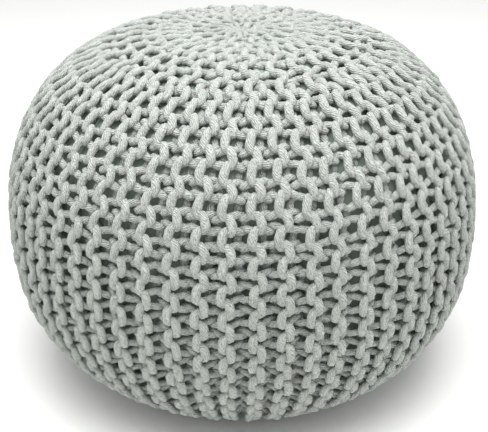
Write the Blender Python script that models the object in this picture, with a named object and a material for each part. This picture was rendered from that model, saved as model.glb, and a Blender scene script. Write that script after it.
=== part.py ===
"""Knitted pouf: one filled, crowned body with the ridges of its knitted cover.

The cover is garter stitch worked sideways, so its ridges run from pole to pole like
the segments of a pumpkin. Short rows leave out every second ridge on the way to a
pole, and half of the rest nearer to it. The body is soft and heavy, so it spreads
into a flat, round foot where it rests on the floor.

Metres, +Z up. The origin is the middle of the foot, on the floor.
"""
import math

import bmesh
import bpy
import numpy as np

# Driving dimensions: the crests of the ridges, with heights from the widest girth.
GIRTH_RADIUS = 0.250
CROWN_RISE = 0.2205         # up to the top, before the crown is drawn in
CROWN_SQUARENESS = 2.45     # exponent of the upper curve: 2 is an ellipse
CROWN_DIP = 0.0125          # how far the crown is drawn in towards its pole
CROWN_DIP_RADIUS = 0.130
POLE_PUCKER = 0.003         # the gathered ends of the rows pull the pole itself in further
POLE_PUCKER_RADIUS = 0.016
BELLY_DROP = 0.1935         # how deep the lower curve would go without a floor
BELLY_SQUARENESS = 2.34
GIRTH_ABOVE_FLOOR = 0.165   # the weight of the filling flattens the belly at this drop
FOOT_ROUNDING = 0.010       # the cloth leaves the floor in a soft curve of about this size
FOOT_CONTACT = 0.0008       # cloth this close to the floor is pressed flat on it

# The ridges of the cover.
RIDGES = 60                 # round the widest girth
RIDGE_DEPTH = 0.0085        # from a ridge's crest down to the back of the knitting
RIDGE_TURN = -math.pi / RIDGES          # the first crest stands half a ridge before +X
SHORT_ROW_ARC = 0.145       # along the surface from a pole: every second ridge ends here
CROWN_ROW_ARC = 0.065       # half of the rest end here
RIDGE_RUN_OUT = 0.030       # a ridge sinks over this length before the foot and the pole
STITCH_PITCH = 0.026        # along a ridge: one ring of points for each stitch

# The cotton cord's colour, as linear red, green, blue and alpha.
CORD_COLOUR = (0.53, 0.58, 0.51, 1.0)
CORD_ROUGHNESS = 0.92

POINTS_PER_RIDGE = 4        # crest, side, groove, side
GROOVE_SHARE = (0.0, 0.33, 1.0, 0.33)   # depth at those points, as a share of RIDGE_DEPTH
CURVE_STEPS = 1500          # fine steps from which the evenly spaced rings are read
SLOPE_STEP = 0.003          # the curve's slope is read this far each side of a ring
SHARP_EDGE = math.radians(60)   # only the foot's edge could be sharper than this


def side_curve():
    """Radius, height and arc length of the crests, from the crown's pole to the foot."""
    turn = np.linspace(0.0, math.pi / 2, CURVE_STEPS)
    upper_radius = GIRTH_RADIUS * np.sin(turn) ** (2 / CROWN_SQUARENESS)
    upper_height = CROWN_RISE * np.cos(turn) ** (2 / CROWN_SQUARENESS)
    upper_height -= CROWN_DIP * np.exp(-(upper_radius / CROWN_DIP_RADIUS) ** 3)
    upper_height -= POLE_PUCKER * np.exp(-(upper_radius / POLE_PUCKER_RADIUS) ** 2)
    lower_radius = GIRTH_RADIUS * np.cos(turn) ** (2 / BELLY_SQUARENESS)
    lower_height = -BELLY_DROP * np.sin(turn) ** (2 / BELLY_SQUARENESS)
    radius = np.concatenate([upper_radius, lower_radius[1:]])
    height = np.concatenate([upper_height, lower_height[1:]]) + GIRTH_ABOVE_FLOOR
    # The smooth maximum of the curve and the floor rounds the edge of the foot.
    height = (height + np.hypot(height, FOOT_ROUNDING)) / 2
    resting = (height < height[-1] + FOOT_CONTACT).argmax()
    radius, height = radius[:resting + 1], height[:resting + 1]
    height = height - height[-1]
    arc = np.concatenate([[0.0], np.hypot(np.diff(radius), np.diff(height)).cumsum()])
    return radius, height, arc


def even_steps(start, end):
    """Places from start to end about one stitch apart, without the start."""
    steps = max(1, round((end - start) / STITCH_PITCH))
    return [start + (end - start) * (i + 1) / steps for i in range(steps)]


def ring_plan(foot_arc):
    """(arc, ridges) of each ring: the short rows double the ridges at two of them."""
    plan = [(arc, RIDGES // 4) for arc in even_steps(0.0, CROWN_ROW_ARC)]
    plan += [(arc, RIDGES // 2) for arc in even_steps(CROWN_ROW_ARC, SHORT_ROW_ARC)]
    plan += [(arc, RIDGES) for arc in even_steps(SHORT_ROW_ARC, foot_arc)]
    # At the foot the short rows have left out every second ridge again.
    plan[-1] = (foot_arc, RIDGES // 2)
    return plan


def ring_points(arc, ridges, curve):
    """Points of one ring: the side curve there, sunk along its normal in the grooves."""
    radii, heights, arcs = curve
    radius, height = np.interp(arc, arcs, radii), np.interp(arc, arcs, heights)
    slope = [np.interp(arc + SLOPE_STEP, arcs, line) - np.interp(arc - SLOPE_STEP, arcs, line)
             for line in (radii, heights)]
    length = math.hypot(*slope)
    inward = (slope[1] / length, -slope[0] / length)
    fade = min(1.0, arc / RIDGE_RUN_OUT, (arcs[-1] - arc) / RIDGE_RUN_OUT)
    points = []
    for i in range(ridges * POINTS_PER_RIDGE):
        angle = RIDGE_TURN + 2 * math.pi * i / (ridges * POINTS_PER_RIDGE)
        sunk = RIDGE_DEPTH * fade * GROOVE_SHARE[i % POINTS_PER_RIDGE]
        r, z = radius + sunk * inward[0], height + sunk * inward[1]
        points.append((r * math.cos(angle), r * math.sin(angle), max(z, 0.0)))
    return points


def join_rings(mesh, upper, lower):
    """Faces between two rings, of which one may have twice the points of the other."""
    fine = max(len(upper), len(lower))
    for i in range(fine):
        a = upper[i * len(upper) // fine]
        b = upper[(i + 1) * len(upper) // fine % len(upper)]
        c = lower[(i + 1) * len(lower) // fine % len(lower)]
        d = lower[i * len(lower) // fine]
        if a is not b and c is not d:
            mesh.faces.new((a, d, c, b))
        elif a is b:
            mesh.faces.new((a, d, c))
        else:
            mesh.faces.new((a, d, b))


def cushion_mesh():
    """The closed body: a pole, the rings down to the foot, and the flat foot."""
    curve = side_curve()
    mesh = bmesh.new()
    pole = mesh.verts.new((0.0, 0.0, curve[1][0]))
    rings = [[mesh.verts.new(point) for point in ring_points(arc, ridges, curve)]
             for arc, ridges in ring_plan(curve[2][-1])]
    for a, b in zip(rings[0], rings[0][1:] + rings[0][:1]):
        mesh.faces.new((pole, a, b))
    for upper, lower in zip(rings, rings[1:]):
        join_rings(mesh, upper, lower)
    mesh.faces.new(rings[-1][::-1])
    data = bpy.data.meshes.new("knitted_pouf")
    mesh.to_mesh(data)
    mesh.free()
    data.shade_smooth()
    data.set_sharp_from_angle(angle=SHARP_EDGE)
    return data


def cord_material():
    """Matte cotton cord in a pale grey green."""
    material = bpy.data.materials.new("matte_cotton_cord")
    material.use_nodes = True
    shader = material.node_tree.nodes["Principled BSDF"]
    shader.inputs["Base Color"].default_value = CORD_COLOUR
    shader.inputs["Roughness"].default_value = CORD_ROUGHNESS
    shader.inputs["Metallic"].default_value = 0.0
    return material


def main():
    for old in list(bpy.data.objects):
        bpy.data.objects.remove(old, do_unlink=True)
    pouf = bpy.data.objects.new("knitted_pouf", cushion_mesh())
    pouf.data.materials.append(cord_material())
    bpy.context.scene.collection.objects.link(pouf)


main()
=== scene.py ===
import math

import bpy
import numpy as np
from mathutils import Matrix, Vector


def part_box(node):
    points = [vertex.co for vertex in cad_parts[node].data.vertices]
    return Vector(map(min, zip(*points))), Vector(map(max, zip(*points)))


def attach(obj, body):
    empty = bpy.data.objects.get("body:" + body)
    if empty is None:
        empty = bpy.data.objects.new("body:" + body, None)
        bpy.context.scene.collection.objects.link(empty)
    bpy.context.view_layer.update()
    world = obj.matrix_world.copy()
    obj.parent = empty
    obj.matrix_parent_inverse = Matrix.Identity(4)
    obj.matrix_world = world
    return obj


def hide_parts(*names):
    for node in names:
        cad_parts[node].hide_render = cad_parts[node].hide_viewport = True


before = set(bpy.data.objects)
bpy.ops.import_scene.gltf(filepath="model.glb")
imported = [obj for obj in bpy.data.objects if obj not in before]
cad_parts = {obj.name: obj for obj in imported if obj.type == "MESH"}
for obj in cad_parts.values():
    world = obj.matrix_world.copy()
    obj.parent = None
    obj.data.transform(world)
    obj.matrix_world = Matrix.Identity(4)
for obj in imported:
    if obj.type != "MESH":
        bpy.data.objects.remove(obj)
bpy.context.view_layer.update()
print("frame loaded, solids:", len(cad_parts))


def hexColour(code):
    # sRGB hex to linear: c/12.92 below 0.04045, else ((c + 0.055)/1.055)^2.4
    srgb = np.array([int(code[i:i + 2], 16) for i in (1, 3, 5)]) / 255
    linear = np.where(srgb < 0.04045, srgb / 12.92, ((srgb + 0.055) / 1.055) ** 2.4)
    return (*linear.tolist(), 1.0)


def addNode(tree, kind, links=None, **settings):
    # one node: settings are its own properties, links feed its sockets with outputs or plain values
    node = tree.nodes.new(kind)
    for name, value in settings.items():
        setattr(node, name, value)
    for socket, source in (links or {}).items():
        if isinstance(source, bpy.types.NodeSocket):
            tree.links.new(source, node.inputs[socket])
        else:
            node.inputs[socket].default_value = source
    return node


def smoothStep(x, low, high):
    # 0 below low, 1 above high, 3f^2 - 2f^3 between
    f = np.clip((x - low) / (high - low), 0, 1)
    return f * f * (3 - 2 * f)


def meshFromArrays(name, points, quads, uv):
    # points (n, 3), quads (m, 4), uv (m, 4, 2) for the corners of each quad
    mesh = bpy.data.meshes.new(name)
    mesh.vertices.add(len(points))
    mesh.vertices.foreach_set("co", points.astype(np.float32).ravel())
    mesh.loops.add(quads.size)
    mesh.loops.foreach_set("vertex_index", quads.astype(np.int32).ravel())
    mesh.polygons.add(len(quads))
    mesh.polygons.foreach_set("loop_start", np.arange(0, quads.size, 4, dtype=np.int32))
    mesh.update(calc_edges=True)
    mesh.uv_layers.new(name="cordUV").data.foreach_set("uv", uv.astype(np.float32).ravel())
    mesh.shade_smooth()
    mesh.validate()
    piece = bpy.data.objects.new(name, mesh)
    bpy.context.scene.collection.objects.link(piece)
    return piece


def finishPiece(piece, material):
    # every piece goes on the root body, and they all stand for the one filled solid, which is hidden
    piece.data.materials.append(material)
    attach(piece, "root")
    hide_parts("knitted_pouf")


# the camera looks down a little on the pouf, as the photo does
camera = dict(
    distance=1.10,          # from the point it looks at
    elevation=26.4,         # degrees above the floor
    lookAt=0.157,           # height on the pouf's axis
    lens=73.5,              # mm
    sensor=36.0,            # mm wide
    shift=(0.0035, 0.0),
)


def makeCamera(c):
    # stands on -Y, turned down by its elevation
    data = bpy.data.cameras.new("camera")
    data.lens, data.sensor_width = c["lens"], c["sensor"]
    data.shift_x, data.shift_y = c["shift"]
    eye = bpy.data.objects.new("camera", data)
    up = math.radians(c["elevation"])
    eye.location = (0, -c["distance"] * math.cos(up), c["lookAt"] + c["distance"] * math.sin(up))
    eye.rotation_euler = (math.pi / 2 - up, 0, 0)
    bpy.context.scene.collection.objects.link(eye)
    bpy.context.scene.camera = eye


makeCamera(camera)
print("camera placed")


# the pouf's side is one curve, from the crown's pole down to the middle of the foot
boxLow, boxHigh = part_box("knitted_pouf")
body = dict(
    ridges=60,              # round the girth
    firstRidge=-3.0,        # degrees from +X to the first ridge's crest
    girthHeight=0.165,      # the widest girth above the unrounded floor
    crownRise=0.882,        # share of the girth's radius, up to the undipped top
    crownSquareness=2.45,   # 2 would be an ellipse
    crownDip=0.0125,        # the crown is drawn in by this towards its pole
    crownDipRadius=0.130,
    polePucker=0.003,       # and the pole itself by this much more
    polePuckerRadius=0.016,
    bellyDrop=0.774,        # share of the girth's radius, down without a floor
    bellySquareness=2.34,
    footRounding=0.010,
    footContact=0.0008,
    normalSpan=0.014,       # the surface's direction is averaged over this much each way
)
# the crests stand half a ridge off the X axis, so the box is a little narrower than they are
body["girthRadius"] = (boxHigh.x - boxLow.x) / 2 / math.cos(math.pi / body["ridges"])


def sideCurve(b, steps=3000, arcStep=0.0005):
    # r = R sin(t)^(2/n), z = H cos(t)^(2/n) - dip exp(-(r/w)^3) - pucker exp(-(r/v)^2) above the girth,
    # r = R cos(t)^(2/m), z = -D sin(t)^(2/m) below it; (z + hypot(z, round))/2 lays it on the floor
    turn = np.linspace(0, math.pi / 2, steps)
    big = b["girthRadius"]
    upR = big * np.sin(turn) ** (2 / b["crownSquareness"])
    upZ = big * b["crownRise"] * np.cos(turn) ** (2 / b["crownSquareness"])
    upZ -= b["crownDip"] * np.exp(-(upR / b["crownDipRadius"]) ** 3)
    upZ -= b["polePucker"] * np.exp(-(upR / b["polePuckerRadius"]) ** 2)
    lowR = big * np.cos(turn) ** (2 / b["bellySquareness"])
    lowZ = -big * b["bellyDrop"] * np.sin(turn) ** (2 / b["bellySquareness"])
    radius = np.concatenate([upR, lowR[1:]])
    height = np.concatenate([upZ, lowZ[1:]]) + b["girthHeight"]
    height = (height + np.hypot(height, b["footRounding"])) / 2
    resting = (height < height[-1] + b["footContact"]).argmax()
    radius, height = radius[:resting + 1], height[:resting + 1] - height[resting]
    radius, height = np.append(radius, 0.0), np.append(height, 0.0)
    arc = np.concatenate([[0], np.hypot(np.diff(radius), np.diff(height)).cumsum()])
    even = np.linspace(0, arc[-1], round(arc[-1] / arcStep) + 1)
    radius, height = np.interp(even, arc, radius), np.interp(even, arc, height)
    # past a pole the curve goes on as its own mirror image, so its direction can be averaged there
    span = round(b["normalSpan"] / arcStep)
    allR = np.pad(radius, span + 1, mode="reflect", reflect_type="odd")
    allZ = np.pad(height, span + 1, mode="reflect")
    box = np.ones(2 * span + 1) / (2 * span + 1)
    slopeR, slopeZ = (np.convolve((line[2:] - line[:-2]) / 2, box, "valid") for line in (allR, allZ))
    length = np.hypot(slopeR, slopeZ)
    return dict(arc=even, radius=radius, height=height, outR=-slopeZ / length, outZ=slopeR / length)


side = sideCurve(body)
poleToPole = side["arc"][-1]


def onSide(arc, angle, depth):
    # (arc along the side, angle round the axis, depth under the crests) to x, y, z
    r, z, outR, outZ = (np.interp(arc, side["arc"], side[k]) for k in ("radius", "height", "outR", "outZ"))
    r, z = r - depth * outR, z - depth * outZ
    return np.stack([r * np.cos(angle), r * np.sin(angle), z], -1)


# the cover is garter stitch, its ridges running from pole to pole
knit = dict(
    seed=11,
    stretched=dict(         # the filling stretches the stitches of the crown
        pitch=0.0318,       # one stitch along a ridge
        cordRadius=0.0040,  # of the loose heads and feet
        legRadius=0.0035,   # the legs between them are drawn thinner
        legSqueeze=0.0010,  # and thinner by this where they cross between two ridges
        reach=0.0047,       # the loops swing this far in and out of the middle of the cloth
        overlap=0.0079,     # between the two columns of bars of a ridge
        barWave=0.0025,     # how far a loop's head and feet open along the ridge
        legWave=-0.0008,    # the legs leave them nearer to their middle by this
        legPinch=0.0012,    # the legs of a loop stand nearer together than those of two loops
        legRaise=0.0010,    # between two ridges the legs are lifted by this
        lean=0.0018,        # each bar's upper end leans in to the middle of its ridge by this
        dive=-0.05,         # how soon the legs dive under from the bars
        valleyContact=0.0056,   # the cords of two ridges keep this far apart where they cross
    ),
    slack=dict(             # those of the belly are slack and stand closer
        pitch=0.0243, cordRadius=0.0040, legRadius=0.0029, legSqueeze=0.0, reach=0.0076,
        overlap=0.0080, barWave=0.0036, legWave=0.0, legPinch=-0.0002, legRaise=0.0022, lean=0.0012,
        dive=-0.10, valleyContact=0.0048,
    ),
    slackFrom=(0.23, 0.42), # arc from the crown's pole over which the one turns into the other
    pitchFalls=(5, 14),     # and the stitches over which their pitch does
    firstFoot=-0.0188,      # arc from the crown's pole to the feet of stitch 0
    pointsPerStitch=20,
    sides=8,                # of the cord
    squareHead=-0.11,       # flattens the heads and the feet
    widestRow=0.013,        # the row spacing which the overlap and the lean go with
    narrowing=0.6,          # they shrink with this power of a narrower one
    spacings=(0.002, 0.017, 7),         # loops are settled for row spacings from, to, and how many
    contact=0.0035,         # two cords keep this far apart, so that they press into each other
    contactRow=0.009,       # and come closer where the rows are spaced closer than this
    ownCord=0.2,            # nor is a cord pushed off itself within this much of a stitch
    settling=dict(          # in each round a loop goes this share of the way
        rounds=200,
        smooth=0.15,        # to an even curve
        hold=0.2,           # back to its worked-out shape
        push=0.9,           # out of the cords that it touches
    ),
    rowEnds=dict(crown=(0.7, 27.9), middle=(2.0, 26.0), short=(5.0, 22.5)),     # first, last stitch
    shortEnd=(0.125, 0.150),            # arc from a pole where the rows between the short ones spread
    middleEnd=(0.045, 0.068),           # and where the crown's own rows spread again
    leastRadius=0.004,      # angles round the axis are worked out no nearer to it than this
    crownReach=0.37,        # near the poles the cloth is pulled flat, to this share of its reach
    crownEnd=(0.05, 0.155), # arc from a pole where that ends
    crownLeg=1.10,          # near the poles the legs are this much thicker
    legEnd=(0.14, 0.19),    # and where that ends
    gatherCord=0.70,        # where the cloth is gathered its cord is drawn thin, to this share
    gatherEnd=(0.015, 0.075),           # and where that ends
    endDive=0.0024,         # a ridge's ends lie this much deeper than its bars
    endLength=1 / 3,        # over this much of a stitch
    turn=dict(reach=2.0, points=6),     # how far the cord runs on, and its points, from row to row
    flatness=(0.86, 1.10),  # the soft cord lies flat: its thickness and width, as shares of round
    uneven=0.035,           # the soft cord's own unevenness, as a share of its radius
    wander=(0.0010, 0.0007, 0.0005),    # each bar's and each foot's own shift along, across and in
    wanderKnots=(-4, 68),   # drawn for the half stitches from the one to the other
    ridgeWander=(0.0012, 0.0010),       # each ridge's own shift along and across
    lay=0.042,              # length of cord in which its strands wind round once
    pieces=5,
    fill=0.8,
)


def loopShape(k, form, rowSpace):
    # One stitch of a ridge's two rows, turn t once round each: across = -h (cos t + q cos 3t)/(1 + q)
    # - lean sin t, along = pitch t/2pi + pinch sin t + bar wave sin 2t + leg wave sin 4t,
    # out = -/+ reach (cos t + dive cos 3t)/(1 + dive), and 0.85 raise sin^2 t (1 +/- cos t) lifts the
    # legs, by about raise at most. Then cords that touch are pushed apart, while each is smoothed and
    # held back towards this shape, until they lie round each other. Gives stitches along, metres across
    # and depth under the bars.
    n, pitch = k["pointsPerStitch"], form["pitch"]
    t = np.arange(n) * 2 * math.pi / n
    shrink = min(1.0, rowSpace / k["widestRow"]) ** k["narrowing"]
    half = (rowSpace + form["overlap"] * shrink) / 2
    along = pitch * t / (2 * math.pi) + form["barWave"] * np.sin(2 * t)
    along += form["legWave"] * np.sin(4 * t) + form["legPinch"] * np.sin(t)
    across = -half * (np.cos(t) + k["squareHead"] * np.cos(3 * t)) / (1 + k["squareHead"])
    across -= form["lean"] * shrink * np.sin(t)
    out = form["reach"] * (np.cos(t) + form["dive"] * np.cos(3 * t)) / (1 + form["dive"])
    rows = []
    for sign in (-1, 1):
        raised = form["legRaise"] * 0.85 * np.sin(t) ** 2 * (1 - sign * np.cos(t))
        rows.append(np.stack([along, across + sign * rowSpace / 2, sign * out + raised], 1))
    aim = np.stack(rows)
    step = np.array([pitch, 0, 0])
    near = np.array([(i * pitch, j * 2 * rowSpace, 0) for i in (-1, 0, 1) for j in (-1, 0, 1)])
    place = np.concatenate([t, t]) / (2 * math.pi)
    row = np.repeat([0, 1], n)
    sameRow = (row[:, None] == row[None])[:, None, :] & (near[:, 1] == 0)[None, :, None]
    gap = np.abs(place[None, None, :] + (near[:, 0] / pitch)[None, :, None] - place[:, None, None])
    free = ~(sameRow & (gap < k["ownCord"]))
    contact = np.where(near[:, 1] == 0, k["contact"], form["valleyContact"])[None, :, None]
    contact = contact * min(1.0, rowSpace / k["contactRow"])
    settle = k["settling"]
    loop = aim.copy()
    for _ in range(settle["rounds"]):
        ends = np.concatenate([loop[:, -2:] - step, loop, loop[:, :2] + step], 1)
        even = (4 * (ends[:, 1:-3] + ends[:, 3:-1]) - (ends[:, :-4] + ends[:, 4:])) / 6
        loop = loop + settle["smooth"] * (even - loop) + settle["hold"] * (aim - loop)
        flat = loop.reshape(-1, 3)
        apart = flat[:, None, None] - (flat[None] + near[:, None])[None]
        distance = np.sqrt((apart ** 2).sum(-1)) + 1e-9
        press = np.where(free & (distance < contact), contact - distance, 0)
        push = ((press / distance)[..., None] * apart).sum((1, 2))
        flat = flat + settle["push"] * push / np.maximum((press > 0).sum((1, 2)), 1)[:, None]
        loop = flat.reshape(2, n, 3)
    return np.stack([loop[..., 0] / pitch, loop[..., 1] - [[-rowSpace / 2], [rowSpace / 2]],
                     form["reach"] - loop[..., 2]], -1)


rowSpaces = np.linspace(*knit["spacings"])
loopTables = [np.stack([loopShape(knit, knit[form], space) for space in rowSpaces])
              for form in ("stretched", "slack")]       # each: space, row, point, xyz
print("stitches settled for", len(rowSpaces), "row spacings")


def rowOffset(k, arc, kind):
    # degrees from a ridge to its own two rows: a quarter of the way to the next ridge, which is
    # twice as far once the short rows have ended, and twice that once the middle ones have
    toPole = np.minimum(arc, poleToPole - arc)
    quarter = 360 / body["ridges"] / 4
    q = np.full_like(arc, quarter)
    if kind != "short":
        q = q + quarter * (1 - smoothStep(toPole, *k["shortEnd"]))
    if kind == "crown":
        q = q + 2 * quarter * (1 - smoothStep(toPole, *k["middleEnd"]))
    return q


def ease(arc, span, share):
    # 1 round the girth, down to share where the cloth is drawn up at the poles
    return share + (1 - share) * smoothStep(np.minimum(arc, poleToPole - arc), *span)


def inBetween(arc, tight, loose):
    # from the value on the stretched crown to that on the slack belly
    return tight + (loose - tight) * smoothStep(arc, *knit["slackFrom"])


def stitchArc(k, s):
    # arc from the crown's pole to the feet of stitch s, whose slope is the pitch: with p and q on the crown
    # and the belly and f = (s - a)/(b - a), it is first + p s - (p - q) (b - a) (f^3 - f^4/2)
    (a, b), p, q = k["pitchFalls"], k["stretched"]["pitch"], k["slack"]["pitch"]
    f = np.clip((s - a) / (b - a), 0, 1)
    fallen = (b - a) * (f ** 3 - f ** 4 / 2) + np.maximum(s - b, 0)
    return k["firstFoot"] + p * s - (p - q) * fallen


def settledLoop(row, phase, arc, space):
    # a row's loop at its points phase, in between those settled for the nearest two row spacings
    place = np.interp(space, rowSpaces, np.arange(len(rowSpaces)))
    low = np.minimum(place.astype(int), len(rowSpaces) - 2)
    f = (place - low)[:, None]
    tight, loose = (table[low, row, phase] * (1 - f) + table[low + 1, row, phase] * f
                    for table in loopTables)
    return inBetween(arc[:, None], tight, loose)


def drawnRadius(k, row, phase, arc, thick):
    # with t once round a stitch: thick + (leg - thick) sin^4 t - squeeze |sin 2t| (1 +/- cos t)/1.75,
    # where 1.75 is about the most that |sin 2t| (1 +/- cos t) comes to
    t = 2 * math.pi * phase / k["pointsPerStitch"]
    leg, squeeze = (inBetween(arc, k["stretched"][name], k["slack"][name])
                    for name in ("legRadius", "legSqueeze"))
    leg = leg * ease(arc, k["legEnd"], k["crownLeg"])
    crossing = np.abs(np.sin(2 * t)) * (1 + (1, -1)[row] * np.cos(t)) / 1.75
    return thick + (leg - thick) * np.sin(t) ** 4 - squeeze * crossing


def rowPath(k, ridge, row, kind, first, last, shift, rng):
    # one row of stitches along a ridge, from stitch first to stitch last: (points, 4) of arc, angle,
    # depth and cord radius; dive exp(-(distance/length)^2) lowers both its ends
    n = k["pointsPerStitch"]
    count = np.arange(round(first * n), round(last * n) + 1)
    stitch, phase = count // n, count % n
    ridgeAngle = body["firstRidge"] + 360 / body["ridges"] * ridge
    at = stitch + phase / n
    middle = stitchArc(k, at)
    q = rowOffset(k, middle, kind)
    r = np.maximum(np.interp(middle, side["arc"], side["radius"]), k["leastRadius"])
    space = np.clip(2 * np.radians(q) * r, rowSpaces[0], rowSpaces[-1])
    loop = settledLoop(row, phase, middle, space)
    # no two stitches are alike: each is shifted a little
    knots = np.arange(*k["wanderKnots"]) / 2
    wander = [np.interp(at, knots, rng.normal(0, size, len(knots))) for size in k["wander"]]
    wander = [own + ridgeOwn for own, ridgeOwn in zip(wander, (*shift, 0))]
    arc = stitchArc(k, stitch + loop[:, 0]) + wander[0]
    angle = np.radians(ridgeAngle + (-1, 1)[row] * q) + (loop[:, 1] + wander[1]) / r
    flat = ease(middle, k["crownEnd"], k["crownReach"])
    slim = ease(middle, k["gatherEnd"], k["gatherCord"])
    thick = inBetween(middle, k["stretched"]["cordRadius"], k["slack"]["cordRadius"])
    depth = flat * (loop[:, 2] + wander[2]) + slim * thick * k["flatness"][0]
    fromFirst, fromLast = (at - first) / k["endLength"], (at - last) / k["endLength"]
    depth += k["endDive"] * (np.exp(-fromFirst ** 2) + np.exp(-fromLast ** 2))
    radius = slim * drawnRadius(k, row, phase, middle, thick)
    return np.stack([arc, angle, depth, radius], 1)


def turnBetween(a, b, reach, points):
    # Hermite curve from the end of path a to the end of path b, leaving along a and arriving against b:
    # (2f^3 - 3f^2 + 1) p0 + (f^3 - 2f^2 + f) m0 + (-2f^3 + 3f^2) p1 + (f^3 - f^2) m1
    p0, p1 = a[-1], b[-1]
    m0, m1 = (a[-1] - a[-3]) * reach, -(b[-1] - b[-3]) * reach
    f = np.linspace(0, 1, points + 2)[1:-1, None]
    return ((2 * f ** 3 - 3 * f ** 2 + 1) * p0 + (f ** 3 - 2 * f ** 2 + f) * m0
            + (-2 * f ** 3 + 3 * f ** 2) * p1 + (f ** 3 - f ** 2) * m1)


def tube(path, normal, radius, k, rng):
    # A flattened circle carried along a closed path: point = path + radius (p cos a N + q sin a B),
    # with N the outward normal squared to the path, B across it and p, q the flatness.
    # UV: u round the cord, v its length in lays.
    sides = k["sides"]
    ahead, behind = np.roll(path, -1, 0), np.roll(path, 1, 0)
    tangent = ahead - behind
    tangent /= np.linalg.norm(tangent, axis=1, keepdims=True)
    across = np.cross(tangent, normal)
    across /= np.linalg.norm(across, axis=1, keepdims=True)
    outward = np.cross(across, tangent)
    a = np.arange(sides) * 2 * math.pi / sides
    thick, wide = k["flatness"]
    ring = (thick * np.cos(a)[None, :, None] * outward[:, None]
            + wide * np.sin(a)[None, :, None] * across[:, None])
    uneven = 1 + rng.normal(0, k["uneven"], (len(path), sides))
    points = path[:, None] + (radius[:, None] * uneven)[..., None] * ring
    length = np.concatenate([[0], np.linalg.norm(ahead - path, axis=1).cumsum()])
    lays = round(length[-1] / k["lay"])
    v = length / length[-1] * lays
    i, j = (g.ravel() for g in np.meshgrid(np.arange(len(path)), np.arange(sides), indexing="ij"))
    nextI, nextJ = (i + 1) % len(path), (j + 1) % sides
    quads = np.stack([i * sides + j, i * sides + nextJ, nextI * sides + nextJ, nextI * sides + j], 1)
    # the seam of u lies on the cord's inner side, half way round
    uv = np.stack([np.stack([(j + du) / sides - 0.5, v[i + dv]], 1)
                   for du, dv in ((0, 0), (1, 0), (1, 1), (0, 1))], 1)
    return points.reshape(-1, 3), quads, uv


def ridgeKind(ridge):
    # every second ridge is short, every second of the rest ends nearer to the poles, and the crown's
    # own reach them
    return "crown" if ridge % 4 == 0 else "middle" if ridge % 4 == 2 else "short"


def ridgeTube(k, ridge, rng):
    # the two rows of one ridge as one closed cord: down the left row, round the turn, up the right one
    kind = ridgeKind(ridge)
    shift = rng.normal(0, k["ridgeWander"])
    left, right = (rowPath(k, ridge, row, kind, *k["rowEnds"][kind], shift, rng) for row in (0, 1))
    line = np.concatenate([left, turnBetween(left, right, **k["turn"]), right[::-1],
                           turnBetween(right[::-1], left[::-1], **k["turn"])])
    arc, angle, depth, radius = line.T
    path = onSide(arc, angle, depth)
    justUnder = onSide(arc, angle, depth + 0.001)
    normal = path - justUnder
    # the weight of the filling presses the cord flat on the floor
    path[:, 2] = np.maximum(path[:, 2], k["slack"]["cordRadius"])
    return tube(path, normal, radius, k, rng)


def joined(tubes):
    # one set of arrays from several
    starts = np.cumsum([0] + [len(t[0]) for t in tubes[:-1]])
    return (np.concatenate([t[0] for t in tubes]),
            np.concatenate([t[1] + start for t, start in zip(tubes, starts)]),
            np.concatenate([t[2] for t in tubes]))


# the cord's finish, with sizes in mm
cordFinish = dict(
    strands=11,
    girth=24.0,
    lay=1000 * knit["lay"],
    wander=(0.22, 9.0),     # the strands wander by this share of a turn, over this length
    fibre=(1.0, 5.0),       # width and length of a bundle of fibres, which are finer than would show
    pit=2.0,                # between the pits
    patch=100 / 9,          # between the lighter patches
    # painted shade: the groove tone, darker than the crest tone, shades the grooves between strands
    groove="#B0B7B0",       # between two strands
    crest="#BCC3BB",        # on a strand
    light="#C4CAC3",        # in a lighter patch
    streaks=(0.74, 1.16),   # shares of that colour, from dark streaks to light ones
    # painted shade: the pits are drawn darker than what is round them
    paintedPitShade=(0.66, 1.02),   # and from the pits to what is round them
    strandRelief=0.6,       # of the strands, where fibres and pits have 1
    relief=2.2,
    roughness=0.95,
    specular=0.12,          # cotton hardly shines
    sheen=(0.3, 0.6),       # the fur's weight and roughness
)


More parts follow.
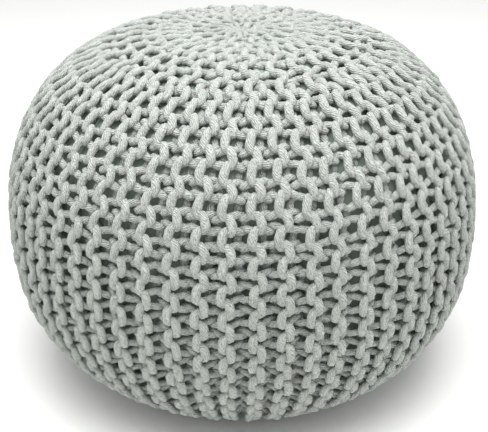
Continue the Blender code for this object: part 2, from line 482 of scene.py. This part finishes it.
def twistedCottonCord(c):
    # Thick, softly twisted cotton cord, dyed a pale grey green: dead matt and a little furry, with thin
    # strands lying slantwise round it, uneven streaks along them and small pits between fibres.
    # The grooves between strands and the pits are drawn darker in its colour, as painted shade.
    material = bpy.data.materials.new("twisted_cotton_cord")
    material.use_nodes = True
    tree = material.node_tree
    shader = tree.nodes["Principled BSDF"]
    shader.inputs["Roughness"].default_value = c["roughness"]
    shader.inputs["Specular IOR Level"].default_value = c["specular"]
    shader.inputs["Sheen Weight"].default_value, shader.inputs["Sheen Roughness"].default_value = c["sheen"]
    place = addNode(tree, "ShaderNodeTexCoord")
    uv = addNode(tree, "ShaderNodeUVMap", uv_map="cordUV")
    parts = addNode(tree, "ShaderNodeSeparateXYZ", {0: uv.outputs[0]})
    # the strands wind once round in each lay, and wander: slant = u + v + share * noise
    wanderBy, wanderOver = c["wander"]
    wander = addNode(tree, "ShaderNodeTexNoise", {"Vector": place.outputs["Object"],
                                                  "Scale": 1000 / wanderOver, "Detail": 1.0})
    straight = addNode(tree, "ShaderNodeMath", {0: parts.outputs[0], 1: parts.outputs[1]}, operation="ADD")
    slant = addNode(tree, "ShaderNodeMath", {0: wander.outputs[0], 1: wanderBy, 2: straight.outputs[0]},
                    operation="MULTIPLY_ADD")
    # |sin(strands pi slant)| is 0 in the grooves between strands and 1 on their crests
    phase = addNode(tree, "ShaderNodeMath", {0: slant.outputs[0], 1: c["strands"] * math.pi},
                    operation="MULTIPLY")
    wave = addNode(tree, "ShaderNodeMath", {0: phase.outputs[0]}, operation="SINE")
    crest = addNode(tree, "ShaderNodeMath", {0: wave.outputs[0]}, operation="ABSOLUTE")
    # fibres: noise drawn out along the strands
    fibreWide, fibreLong = c["fibre"]
    acrossFibre = addNode(tree, "ShaderNodeMath", {0: slant.outputs[0], 1: c["girth"] / fibreWide},
                          operation="MULTIPLY")
    alongFibre = addNode(tree, "ShaderNodeMath", {0: parts.outputs[1], 1: c["lay"] / fibreLong},
                         operation="MULTIPLY")
    stretched = addNode(tree, "ShaderNodeCombineXYZ", {0: acrossFibre.outputs[0], 1: alongFibre.outputs[0]})
    fibre = addNode(tree, "ShaderNodeTexNoise", {"Vector": stretched.outputs[0], "Scale": 1.0,
                                                 "Detail": 3.0, "Roughness": 0.65})
    pit = addNode(tree, "ShaderNodeTexNoise", {"Vector": place.outputs["Object"], "Scale": 1000 / c["pit"],
                                               "Detail": 2.0, "Roughness": 0.6})
    patch = addNode(tree, "ShaderNodeTexNoise", {"Vector": place.outputs["Object"],
                                                 "Scale": 1000 / c["patch"], "Detail": 2.0})
    # painted shade: the colour is darker in the grooves and lighter on the strands' crests
    shade = addNode(tree, "ShaderNodeMix", {0: crest.outputs[0], 6: hexColour(c["groove"]),
                                            7: hexColour(c["crest"])}, data_type="RGBA")
    mottled = addNode(tree, "ShaderNodeMix", {0: patch.outputs[0], 6: shade.outputs[2],
                                              7: hexColour(c["light"])}, data_type="RGBA")
    # streaks lighten or darken that, and the pits darken it as painted shade;
    # noise keeps mostly to the middle of its range
    darkStreak, lightStreak = c["streaks"]
    streak = addNode(tree, "ShaderNodeMapRange", {"Value": fibre.outputs[0],
                                                  "From Min": 0.3, "From Max": 0.7,
                                                  "To Min": darkStreak, "To Max": lightStreak})
    inPit, roundPit = c["paintedPitShade"]
    pitShadeShare = addNode(tree, "ShaderNodeMapRange", {"Value": pit.outputs[0],
                                                  "From Min": 0.33, "From Max": 0.5,
                                                  "To Min": inPit, "To Max": roundPit})
    streakAndPitShade = addNode(tree, "ShaderNodeMath", {0: streak.outputs[0], 1: pitShadeShare.outputs[0]},
                   operation="MULTIPLY")
    colour = addNode(tree, "ShaderNodeMix", {0: 1.0, 6: mottled.outputs[2], 7: streakAndPitShade.outputs[0]},
                     data_type="RGBA", blend_type="MULTIPLY")
    tree.links.new(colour.outputs[2], shader.inputs["Base Color"])
    fine = addNode(tree, "ShaderNodeMath", {0: fibre.outputs[0], 1: pit.outputs[0]}, operation="ADD")
    relief = addNode(tree, "ShaderNodeMath", {0: crest.outputs[0], 1: c["strandRelief"],
                                              2: fine.outputs[0]}, operation="MULTIPLY_ADD")
    bump = addNode(tree, "ShaderNodeBump", {"Height": relief.outputs[0], "Strength": 0.9,
                                            "Distance": c["relief"] / 1000})
    tree.links.new(bump.outputs[0], shader.inputs["Normal"])
    return material


rng = np.random.default_rng(knit["seed"])
cord = twistedCottonCord(cordFinish)
tubes = [ridgeTube(knit, ridge, rng) for ridge in range(body["ridges"])]
share = body["ridges"] // knit["pieces"]
for p in range(knit["pieces"]):
    points, quads, uv = joined(tubes[p * share:(p + 1) * share])
    points[:, 2] = np.maximum(points[:, 2], 0)      # nothing goes through the floor
    cover = meshFromArrays(f"knit_cover_{p + 1}", points, quads, uv)
    finishPiece(cover, cord)
    print(cover.name, 2 * len(quads), "triangles")


# the filled inner bag shows in the gaps between the stitches
bag = dict(
    sunk=(0.0036, -0.0070), # the cloth is pressed this deep into it on the crown, and hangs off the belly
    poleDepth=0.34,         # at the poles it lies at this share of the cloth's depth
    bulge=0.0015,           # the filling presses it out under each ridge
    bulgeFrom=(0.05, 0.16), # arc from a pole where that starts
    rings=110,
    columns=360,
    # painted shade: both lining tones are drawn darker than the cord, for the shade in the gaps
    light="#909D90",
    dark="#828F84",
    patch=25.0,             # mm between its lighter patches
    bump=1.1,               # mm between its bumps
    relief=0.3,             # mm
    roughness=0.95,
    specular=0.1,           # cotton hardly shines
    fill=0.9,
)


def innerBag(b):
    # the side curve lowered by (the cloth's thickness - sunk) ease - bulge fade cos(ridges angle), where
    # ease and fade lessen both towards the poles, closed at the poles
    arc = np.linspace(0, poleToPole, b["rings"] + 1)[1:-1]
    angle = np.arange(b["columns"]) * 2 * math.pi / b["columns"]
    s, a = np.meshgrid(arc, angle, indexing="ij")
    fade = smoothStep(np.minimum(s, poleToPole - s), *b["bulgeFrom"])
    crest = np.cos(body["ridges"] * (a - math.radians(body["firstRidge"])))
    reach, cordThick = (inBetween(s, knit["stretched"][name], knit["slack"][name])
                        for name in ("reach", "cordRadius"))
    cloth = 2 * (reach + cordThick * knit["flatness"][0])
    depth = (cloth - inBetween(s, *b["sunk"])) * ease(s, knit["crownEnd"], b["poleDepth"])
    grid = onSide(s, a, depth - b["bulge"] * fade * crest).reshape(-1, 3)
    poles = onSide(np.array([0.0, poleToPole]), np.zeros(2), depth[[0, -1], 0])
    n = b["columns"]
    rows = b["rings"] - 1
    i, j = (g.ravel() for g in np.meshgrid(np.arange(rows - 1), np.arange(n), indexing="ij"))
    nextJ = (j + 1) % n
    quads = np.stack([i * n + j, (i + 1) * n + j, (i + 1) * n + nextJ, i * n + nextJ], 1)
    mesh = bpy.data.meshes.new("inner_bag")
    j = np.arange(n)
    top = np.stack([np.full(n, rows * n), j, (j + 1) % n], 1)
    low = np.stack([np.full(n, rows * n + 1), (rows - 1) * n + (j + 1) % n, (rows - 1) * n + j], 1)
    mesh.from_pydata(np.concatenate([grid, poles]).tolist(), [],
                     quads.tolist() + top.tolist() + low.tolist())
    mesh.shade_smooth()
    piece = bpy.data.objects.new("inner_bag", mesh)
    bpy.context.scene.collection.objects.link(piece)
    return piece


def wovenLining(b):
    # Cotton bag cloth in the cord's colour and dead matt, drawn a tone darker as painted shade for the
    # gaps it shows through. Its threads are about 0.4 mm thick; the unevenness of the cloth is drawn
    # coarser, at about 1.1 mm, so that it shows.
    material = bpy.data.materials.new("shaded_woven_cotton_lining")
    material.use_nodes = True
    tree = material.node_tree
    shader = tree.nodes["Principled BSDF"]
    shader.inputs["Roughness"].default_value = b["roughness"]
    shader.inputs["Specular IOR Level"].default_value = b["specular"]
    place = addNode(tree, "ShaderNodeTexCoord")
    weave = addNode(tree, "ShaderNodeTexNoise", {"Vector": place.outputs["Object"],
                                                 "Scale": 1000 / b["bump"]})
    patch = addNode(tree, "ShaderNodeTexNoise", {"Vector": place.outputs["Object"],
                                                 "Scale": 1000 / b["patch"]})
    colour = addNode(tree, "ShaderNodeMix", {0: patch.outputs[0], 6: hexColour(b["dark"]),
                                             7: hexColour(b["light"])}, data_type="RGBA")
    tree.links.new(colour.outputs[2], shader.inputs["Base Color"])
    bump = addNode(tree, "ShaderNodeBump", {"Height": weave.outputs[0], "Strength": 0.3,
                                            "Distance": b["relief"] / 1000})
    tree.links.new(bump.outputs[0], shader.inputs["Normal"])
    return material


finishPiece(innerBag(bag), wovenLining(bag))
print("inner bag filled")


studio = dict(
    floorHalf=4.0,
    floorColour="#F2F2F0",
    floorRoughness=0.9,
    topLight=dict(place=(0.0, -0.35, 1.7), size=1.5, watts=42.3),
    sky=0.78,
)


def makeStudio(s):
    # a plain pale floor, one wide soft light overhead and an even pale surround
    h = s["floorHalf"]
    mesh = bpy.data.meshes.new("floor")
    mesh.from_pydata([(-h, -h, 0), (h, -h, 0), (h, h, 0), (-h, h, 0)], [], [(0, 1, 2, 3)])
    floor = bpy.data.objects.new("floor", mesh)
    bpy.context.scene.collection.objects.link(floor)
    paint = bpy.data.materials.new("pale_floor_paint")
    paint.use_nodes = True
    shader = paint.node_tree.nodes["Principled BSDF"]
    shader.inputs["Base Color"].default_value = hexColour(s["floorColour"])
    shader.inputs["Roughness"].default_value = s["floorRoughness"]
    mesh.materials.append(paint)
    light = s["topLight"]
    data = bpy.data.lights.new("top_light", "AREA")
    data.size, data.energy = light["size"], light["watts"]
    lamp = bpy.data.objects.new("top_light", data)
    lamp.location = light["place"]
    bpy.context.scene.collection.objects.link(lamp)
    world = bpy.data.worlds.new("surround")
    world.use_nodes = True
    background = world.node_tree.nodes["Background"]
    background.inputs[0].default_value = (1, 1, 1, 1)
    background.inputs[1].default_value = s["sky"]
    bpy.context.scene.world = world
    bpy.context.scene.view_settings.view_transform = "Standard"


makeStudio(studio)
print("studio lit")
